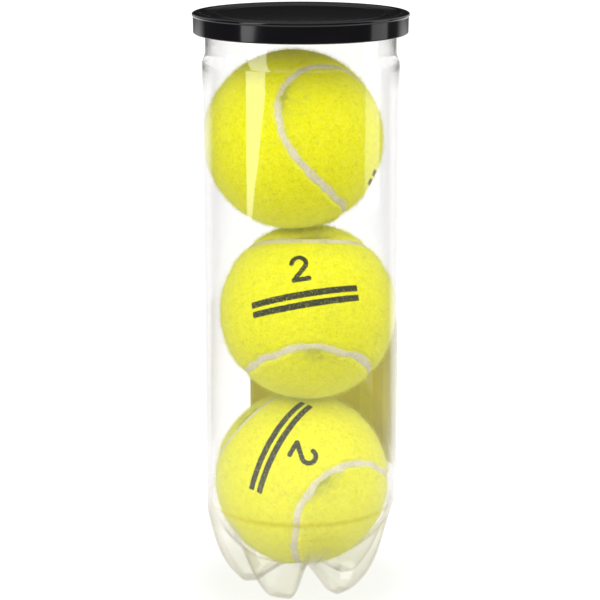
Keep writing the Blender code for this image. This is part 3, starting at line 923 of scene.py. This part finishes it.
def build_seam(name, centre, turn, material, seed, warp_seed):
    """The cement between the panels: a low, slightly crowned and uneven strip."""
    t = np.linspace(0, 2 * math.pi, SEAM_STEPS, endpoint=False)
    middle, side = seam_points(t), seam_sides(t)
    across = np.linspace(-1, 1, 9)
    half = SEAM_HALF + noise_at(middle, 12.0, seed) * 0.2
    rings, roots = [], []
    for k in across:
        direction = warp(unit(middle + side * (k * half / FELT_R)[:, None]), warp_seed)
        bumps = noise_at(direction, 50.0, seed + 2) * 0.09 + noise_at(direction, 9.0, seed) * 0.06
        radius = SEAM_R + 0.12 * (1 - k * k) - 0.5 * max(0.0, abs(k) - 0.7) + bumps
        rings.append(direction * radius[:, None])
        roots.append(direction * SEAM_INNER_R)
    points = np.stack(rings + roots[::-1], 1)
    width = points.shape[1]
    faces = []
    for i in range(SEAM_STEPS):
        j = (i + 1) % SEAM_STEPS
        for k in range(width):
            m = (k + 1) % width
            faces.append((i * width + k, i * width + m, j * width + m, j * width + k))
    world = inside_can(points.reshape(-1, 3) @ turn.T + centre)
    piece = add_mesh(f"{name}_seam", world, faces, material)
    face_outward_about(piece, centre)
    return piece


def build_ball(name, felt, nap, cement, seed):
    """Both felt panels with their hairs, and the seam, over the CAD cores."""
    centre, turn = ball_frame(name)
    body = "ball_" + name
    warp_seed = 5 * seed + 100
    for panel in ("a", "b"):
        own_seed = seed + (20 if panel == "b" else 0)
        piece, hairs = build_panel(name, panel, centre, turn, felt, nap, own_seed, warp_seed)
        place(piece, body, "felt", f"{name}_ball_felt_{panel}")
        place(hairs, body, "felt")
    seam = build_seam(name, centre, turn, cement, seed + 40, warp_seed)
    place(seam, body, "seam_cement", f"{name}_ball_seam")


# ---------------------------------------- lid, metal end and label


def build_lid(material):
    """The lid, from the middle of its top out over the lip, down the skirt and back underneath."""
    profile = rounded([
        (0.0, LID_PANEL_Z),
        (30.4, LID_PANEL_Z, 0.3),
        (30.9, LID_PANEL_Z + 0.24, 0.25),
        (31.9, LID_PANEL_Z + 0.24, 0.25),
        (32.4, LID_PANEL_Z, 0.3),
        (36.3, LID_PANEL_Z, 0.4),
        (37.0, LID_TOP_Z, 0.3),
        (39.2, LID_TOP_Z, 0.3),
        (39.9, LID_TOP_Z - 0.27, 0.3),
        (LID_LIP_R, LID_TOP_Z - 0.92, 0.2),
        (39.6, 219.35, 0.15),
        (39.5, LID_SKIRT_Z + 0.3, 0.2),
        (39.2, LID_SKIRT_Z, 0.15),
        (38.4, LID_SKIRT_Z, 0.15),
        (38.15, 213.75, 0.3),
        (37.93, 214.5, 0.4),
        (LID_BORE_R, 215.3, 0.4),
        (LID_BORE_R, 219.2, 0.3),
        (37.7, LID_UNDER_Z, 0.3),
        (0.0, LID_UNDER_Z),
    ], 0.3)
    return lathe("black_lid", profile, material)


def build_rim(metal):
    """The seamed rim: down inside the flange's hook, over the top and down to the score line."""
    profile = rounded([
        (36.3, 217.7),
        (36.3, 216.75, 0.3), (36.75, 216.2, 0.4), (37.35, 216.2, 0.4), (37.7, 216.75, 0.5),
        (37.72, 218.7, 0.5), (37.2, 219.24, 0.5), (35.4, 219.24, 0.5), (34.6, 218.85, 0.4),
        (34.3, 218.1, 0.5), (34.28, 215.5, 0.4), (34.1, 214.75, 0.3), (33.9, 214.72, 0.2),
        (33.72, 215.3), (33.95, 215.38), (34.1, 215.1, 0.2), (34.3, 215.1, 0.2),
        (34.53, 215.6, 0.4), (34.55, 218.0, 0.5), (34.85, 218.6, 0.4), (35.5, 218.98, 0.5),
        (37.0, 218.98, 0.4), (37.45, 218.6, 0.4), (37.45, 216.9, 0.3), (37.2, 216.5, 0.3),
        (36.9, 216.5, 0.3), (36.6, 216.9, 0.3), (36.6, 217.7), (36.3, 217.7),
    ], 0.2, 3)[:-1]
    return lathe("end_rim_seam", profile, metal)


def build_tear_panel(gold):
    """The torn-out sheet, with a bead round the rivet, a stiffening groove and a rolled edge."""
    upper, lower = SHEET_TOP_Z, SHEET_TOP_Z - SHEET
    profile = rounded([
        (0.0, upper),
        (9.0, upper, 0.4), (9.6, 214.8, 0.3), (10.4, 214.8, 0.3), (11.0, upper, 0.4),
        (28.3, upper, 0.5), (28.9, 214.75, 0.4), (29.8, 214.75, 0.5), (30.6, 215.37, 0.5),
        (32.3, 215.37, 0.3), (32.5, 215.33, 0.2), (32.7, 215.37, 0.2), (33.4, 215.37, 0.1),
        (33.5, 215.25, 0.1), (33.4, 215.12, 0.1), (31.0, 215.12, 0.4), (30.2, 214.5, 0.5),
        (28.6, 214.5, 0.5), (28.1, lower, 0.5),
        (11.3, lower, 0.4), (10.7, 214.55, 0.3), (9.3, 214.55, 0.3), (8.7, lower, 0.4),
        (0.0, lower),
    ], 0.2, 3)
    return lathe("panel_sheet", profile, gold)


def build_rivet(gold):
    """The rivet's dimpled head over the tab strip, and its root in the panel."""
    profile = rounded([
        (0.0, 216.75),
        (0.9, 216.78, 0.2), (1.3, 216.98, 0.2), (1.9, 216.9, 0.4), (2.2, 216.55, 0.2),
        (2.1, 216.32, 0.1), (1.3, 216.3, 0.1), (1.3, 215.5, 0.3), (2.5, 215.1, 0.3),
        (2.6, 214.7), (0.0, 214.7),
    ], 0.1, 3)
    rivet = lathe("rivet", profile, gold, 48)
    rivet.data.transform(Matrix.Translation((0, RIVET_Y * MM, 0)))
    return rivet


def plate(name, outlines, low, high, edge, material):
    """A plate with rolled edges, from an outline and its holes."""
    curve = bpy.data.curves.new(name, "CURVE")
    curve.dimensions = "2D"
    curve.fill_mode = "BOTH"
    curve.bevel_depth = edge * MM
    curve.bevel_resolution = 4
    curve.offset = -edge * MM
    curve.extrude = ((high - low) / 2 - edge) * MM
    for outline in outlines:
        spline = curve.splines.new("POLY")
        spline.points.add(len(outline) - 1)
        for point, (x, y) in zip(spline.points, outline):
            point.co = (x * MM, y * MM, 0.0, 1.0)
        spline.use_cyclic_u = True
    obj = bpy.data.objects.new(name + "_curve", curve)
    bpy.context.scene.collection.objects.link(obj)
    graph = bpy.context.evaluated_depsgraph_get()
    mesh = bpy.data.meshes.new_from_object(obj.evaluated_get(graph))
    bpy.data.objects.remove(obj)
    mesh.transform(Matrix.Translation((0, 0, (low + high) / 2 * MM)))
    mesh.materials.clear()
    mesh.materials.append(material)
    mesh.shade_smooth()
    mesh.set_sharp_from_angle(angle=math.radians(40))
    made = bpy.data.objects.new(name, mesh)
    bpy.context.scene.collection.objects.link(made)
    return made


def arc(cx, cy, radius, start, end, steps):
    """Points of a circle's arc, its ends in degrees from +X."""
    angles = np.radians(np.linspace(start, end, steps + 1))
    return [(cx + radius * math.cos(a), cy + radius * math.sin(a)) for a in angles]


def build_tab(metal):
    """The ring, with a finger hole and a slot round the strip that the rivet clamps."""
    w = TAB_HALF_WIDTH
    outline = [(4.6, 29.8), (-4.6, 29.8), (-5.6, 29.3), (-6.1, 28.2), (-w, 20.5)]
    outline += arc(0, FINGER_Y, w, 180, 360, 36) + [(w, 20.5), (6.1, 28.2), (5.6, 29.3)]
    slot = [(3.3, 28.6), (-3.3, 28.6)] + arc(0, 25.9, 3.3, 180, 360, 20)
    hole = [(x * 5.6, FINGER_Y + y * 4.7) for x, y in arc(0, 0, 1, 0, 355, 71)]
    ring = plate("tab_ring", [outline, slot, hole], TAB_LOW_Z, TAB_LOW_Z + 0.8, 0.34, metal)
    strip = [(2.9, 28.2), (-2.9, 28.2)] + arc(0, 26.3, 2.9, 180, 360, 20)
    bore = arc(0, RIVET_Y, 1.6, 0, 345, 23)
    tongue = plate("tab_strip", [strip, bore], TAB_LOW_Z, TAB_LOW_Z + 0.4, 0.12, metal)
    return ring, tongue


def build_label(material):
    """The sticker round the back, with rounded corners. across runs from 0 to 1 along it."""
    start, end = math.radians(LABEL_FROM_DEG), math.radians(LABEL_TO_DEG)
    columns, rows = 160, 60
    points, across = [], []
    for radius in (LABEL_OUTER_R, LABEL_INNER_R):
        for i in range(rows + 1):
            for k in range(columns + 1):
                u, v = k / columns, i / rows
                # Near the sheet's top and bottom its ends draw in to round the corners.
                rise = min(v, 1 - v) * LABEL_HEIGHT / LABEL_CORNER
                pull = 1 - math.sqrt(max(0.0, 1 - (1 - min(rise, 1.0)) ** 2))
                pull *= LABEL_CORNER / LABEL_LENGTH
                at = pull + u * (1 - 2 * pull)
                azimuth = start + (end - start) * at
                r = radius + 0.02 * noise.noise(Vector((at * 9, v * 6, 0)))
                z = LABEL_LOW_Z + LABEL_HEIGHT * v
                points.append((r * math.sin(azimuth), r * math.cos(azimuth), z))
                across.append(at)
    width = columns + 1
    count = (rows + 1) * width
    faces = []
    for i in range(rows):
        for k in range(columns):
            a = i * width + k
            faces.append((a + 1, a, a + width, a + width + 1))
            b = count + a
            faces.append((b, b + 1, b + width + 1, b + width))
    loop = list(range(width))
    loop += [i * width + columns for i in range(1, rows + 1)]
    loop += [rows * width + k for k in range(columns - 1, -1, -1)]
    loop += [i * width for i in range(rows - 1, 0, -1)]
    for a, b in zip(loop, loop[1:] + loop[:1]):
        faces.append((a, b, count + b, count + a))
    label = add_mesh("back_label", points, faces, material)
    face_outward(label)
    label.data.set_sharp_from_angle(angle=math.radians(40))
    add_values(label, "across", across)
    return label


# ---------------------------------------- light, floor and camera


def area_light(name, at, target, size, power):
    """A rectangular light in metres that the camera doesn't see."""
    data = bpy.data.lights.new(name, "AREA")
    data.shape = "RECTANGLE"
    data.size, data.size_y = size
    data.energy = power
    lamp = bpy.data.objects.new(name, data)
    bpy.context.scene.collection.objects.link(lamp)
    lamp.location = at
    direction = Vector(target) - Vector(at)
    lamp.rotation_euler = direction.to_track_quat("-Z", "Y").to_euler()
    lamp.visible_camera = False


def softbox(name, left, right, radiance):
    """An upright box standing on the floor from one place to another, facing the can's side."""
    left, right = Vector(left), Vector(right)
    along = right - left
    middle = (left + right) / 2 + Vector((0, 0, SOFTBOX_HEIGHT / 2))
    normal = along.cross(Vector((0, 0, 1))).normalized()
    if normal.dot(-middle) < 0:
        normal = -normal
    power = radiance * math.pi * along.length * SOFTBOX_HEIGHT
    area_light(name, middle, middle + normal, (along.length, SOFTBOX_HEIGHT), power)


def polar(azimuth_deg, distance):
    """A place on the floor in metres, at an azimuth from the front towards +X."""
    a = math.radians(azimuth_deg)
    return (distance * math.sin(a), -distance * math.cos(a), 0.0)


def build_world():
    """A sky that lights the front of the can. The camera sees it white, and mirrors see it dark
    but for the zenith, the flanks and a line along the horizon behind."""
    world = bpy.data.worlds.new("studio")
    bpy.context.scene.world = world
    world.use_nodes = True
    tree = world.node_tree
    background = tree.nodes["Background"]
    way = node(tree, "ShaderNodeSeparateXYZ")
    plug(tree, node(tree, "ShaderNodeTexCoord").outputs["Generated"], way.inputs[0])
    x, y, z = (way.outputs[axis] for axis in "XYZ")
    forward = math_node(tree, "MULTIPLY", y, -1.0)
    front = spread(tree, math_node(tree, "MULTIPLY_ADD", x, 0.3, forward), 0.0, 1.44, -0.4, 0.6)
    above = spread(tree, z, 0.0, 0.55, 0.45, 0.9)
    glow = math_node(tree, "ADD", math_node(tree, "MAXIMUM", front, above), 0.24)
    zenith = spread(tree, z, 0.02, 0.5, 0.3, 0.75)
    sideways = spread(tree, math_node(tree, "ABSOLUTE", x), 0.0, 0.8, 0.25, 0.5)
    flanks = math_node(tree, "MULTIPLY", sideways, spread(tree, y, 0.0, 1.0, 0.1, 0.4))
    skyline = spread(tree, z, 1.0, 0.0, -0.002, 0.03)
    skyline = math_node(tree, "MULTIPLY", skyline, spread(tree, y, 0.0, 0.8, 0.75, 0.92))
    mirrored = math_node(tree, "ADD", math_node(tree, "MAXIMUM", zenith, flanks), skyline)
    path = node(tree, "ShaderNodeLightPath")
    glow = seen_by(tree, path.outputs["Is Glossy Ray"], glow, mirrored)
    glow = math_node(tree, "MAXIMUM", glow, path.outputs["Is Camera Ray"])
    plug(tree, glow, background.inputs["Strength"])
    background.inputs["Color"].default_value = (1.0, 0.995, 0.985, 1.0)


def build_stage():
    """World, floor, lights and camera."""
    build_world()
    corners = [(-FLOOR_HALF, -FLOOR_HALF, 0), (FLOOR_HALF, -FLOOR_HALF, 0)]
    corners += [(FLOOR_HALF, FLOOR_HALF, 0), (-FLOOR_HALF, FLOOR_HALF, 0)]
    floor = add_mesh("floor", corners, [(0, 1, 2, 3)], floor_material())
    floor.location.z = -0.00005
    softbox("left_box", polar(-64.5, 0.68), polar(-41.0, 1.5), 2.7)
    softbox("right_box", polar(79, 0.82), polar(103, 0.82), 1.35)
    area_light("top_box", (0.0, -0.45, 1.1), (0, 0, 0.1), (0.9, 0.9), 0.8)
    scene = bpy.context.scene
    scene.cycles.transparent_max_bounces = 40
    scene.view_settings.view_transform = "Standard"
    scene.view_settings.look = "None"
    camera_data = bpy.data.cameras.new("camera")
    camera_data.lens = CAMERA_LENS
    camera_data.sensor_width = 36.0
    camera_data.clip_end = 50.0
    camera = bpy.data.objects.new("camera", camera_data)
    scene.collection.objects.link(camera)
    camera.location = CAMERA_AT
    camera.rotation_euler = (math.pi / 2 - CAMERA_TILT, 0.0, 0.0)
    scene.camera = camera


# ---------------------------------------- everything


def finish_node(name, material):
    """Gives a CAD node that stays a procedural material."""
    materials = NODES[name].data.materials
    materials.clear()
    materials.append(material)


def main():
    felt, nap, cement = felt_material(), nap_material(), seam_material()
    pet, black = clear_pet_material(), black_plastic_material()
    metal = metal_material("end_metal", (0.74, 0.75, 0.76), (0.2, 0.34), (60.0, 60.0, 2600.0))
    gold = metal_material("panel_metal", (0.78, 0.76, 0.70), (0.18, 0.3), (900.0, 25.0, 900.0))
    core = rubber_material("core_rubber", (0.05, 0.048, 0.045))
    for seed, name in enumerate(("top", "middle", "bottom")):
        build_ball(name, felt, nap, cement, seed * 3.1 + 1.0)
        for half in ("a", "b"):
            finish_node(f"{name}_ball_core_{half}", core)
    finish_node("seam_compound", rubber_material("compound", (0.50, 0.46, 0.36)))
    place(build_can(pet), "can", "clear_pet", "can_body")
    place(build_label(label_material()), "can", "label", "rear_label")
    place(build_lid(black), "lid", "black_plastic", "snap_lid")
    place(build_rim(metal), "can", "end_metal", "end_rim")
    place(build_tear_panel(gold), "seal", "end_metal", "tear_panel")
    place(build_rivet(gold), "seal", "end_metal")
    ring, tongue = build_tab(metal)
    place(ring, "ring", "end_metal", "ring_pull")
    place(tongue, "seal", "end_metal", "tab_tongue")
    build_stage()


main()
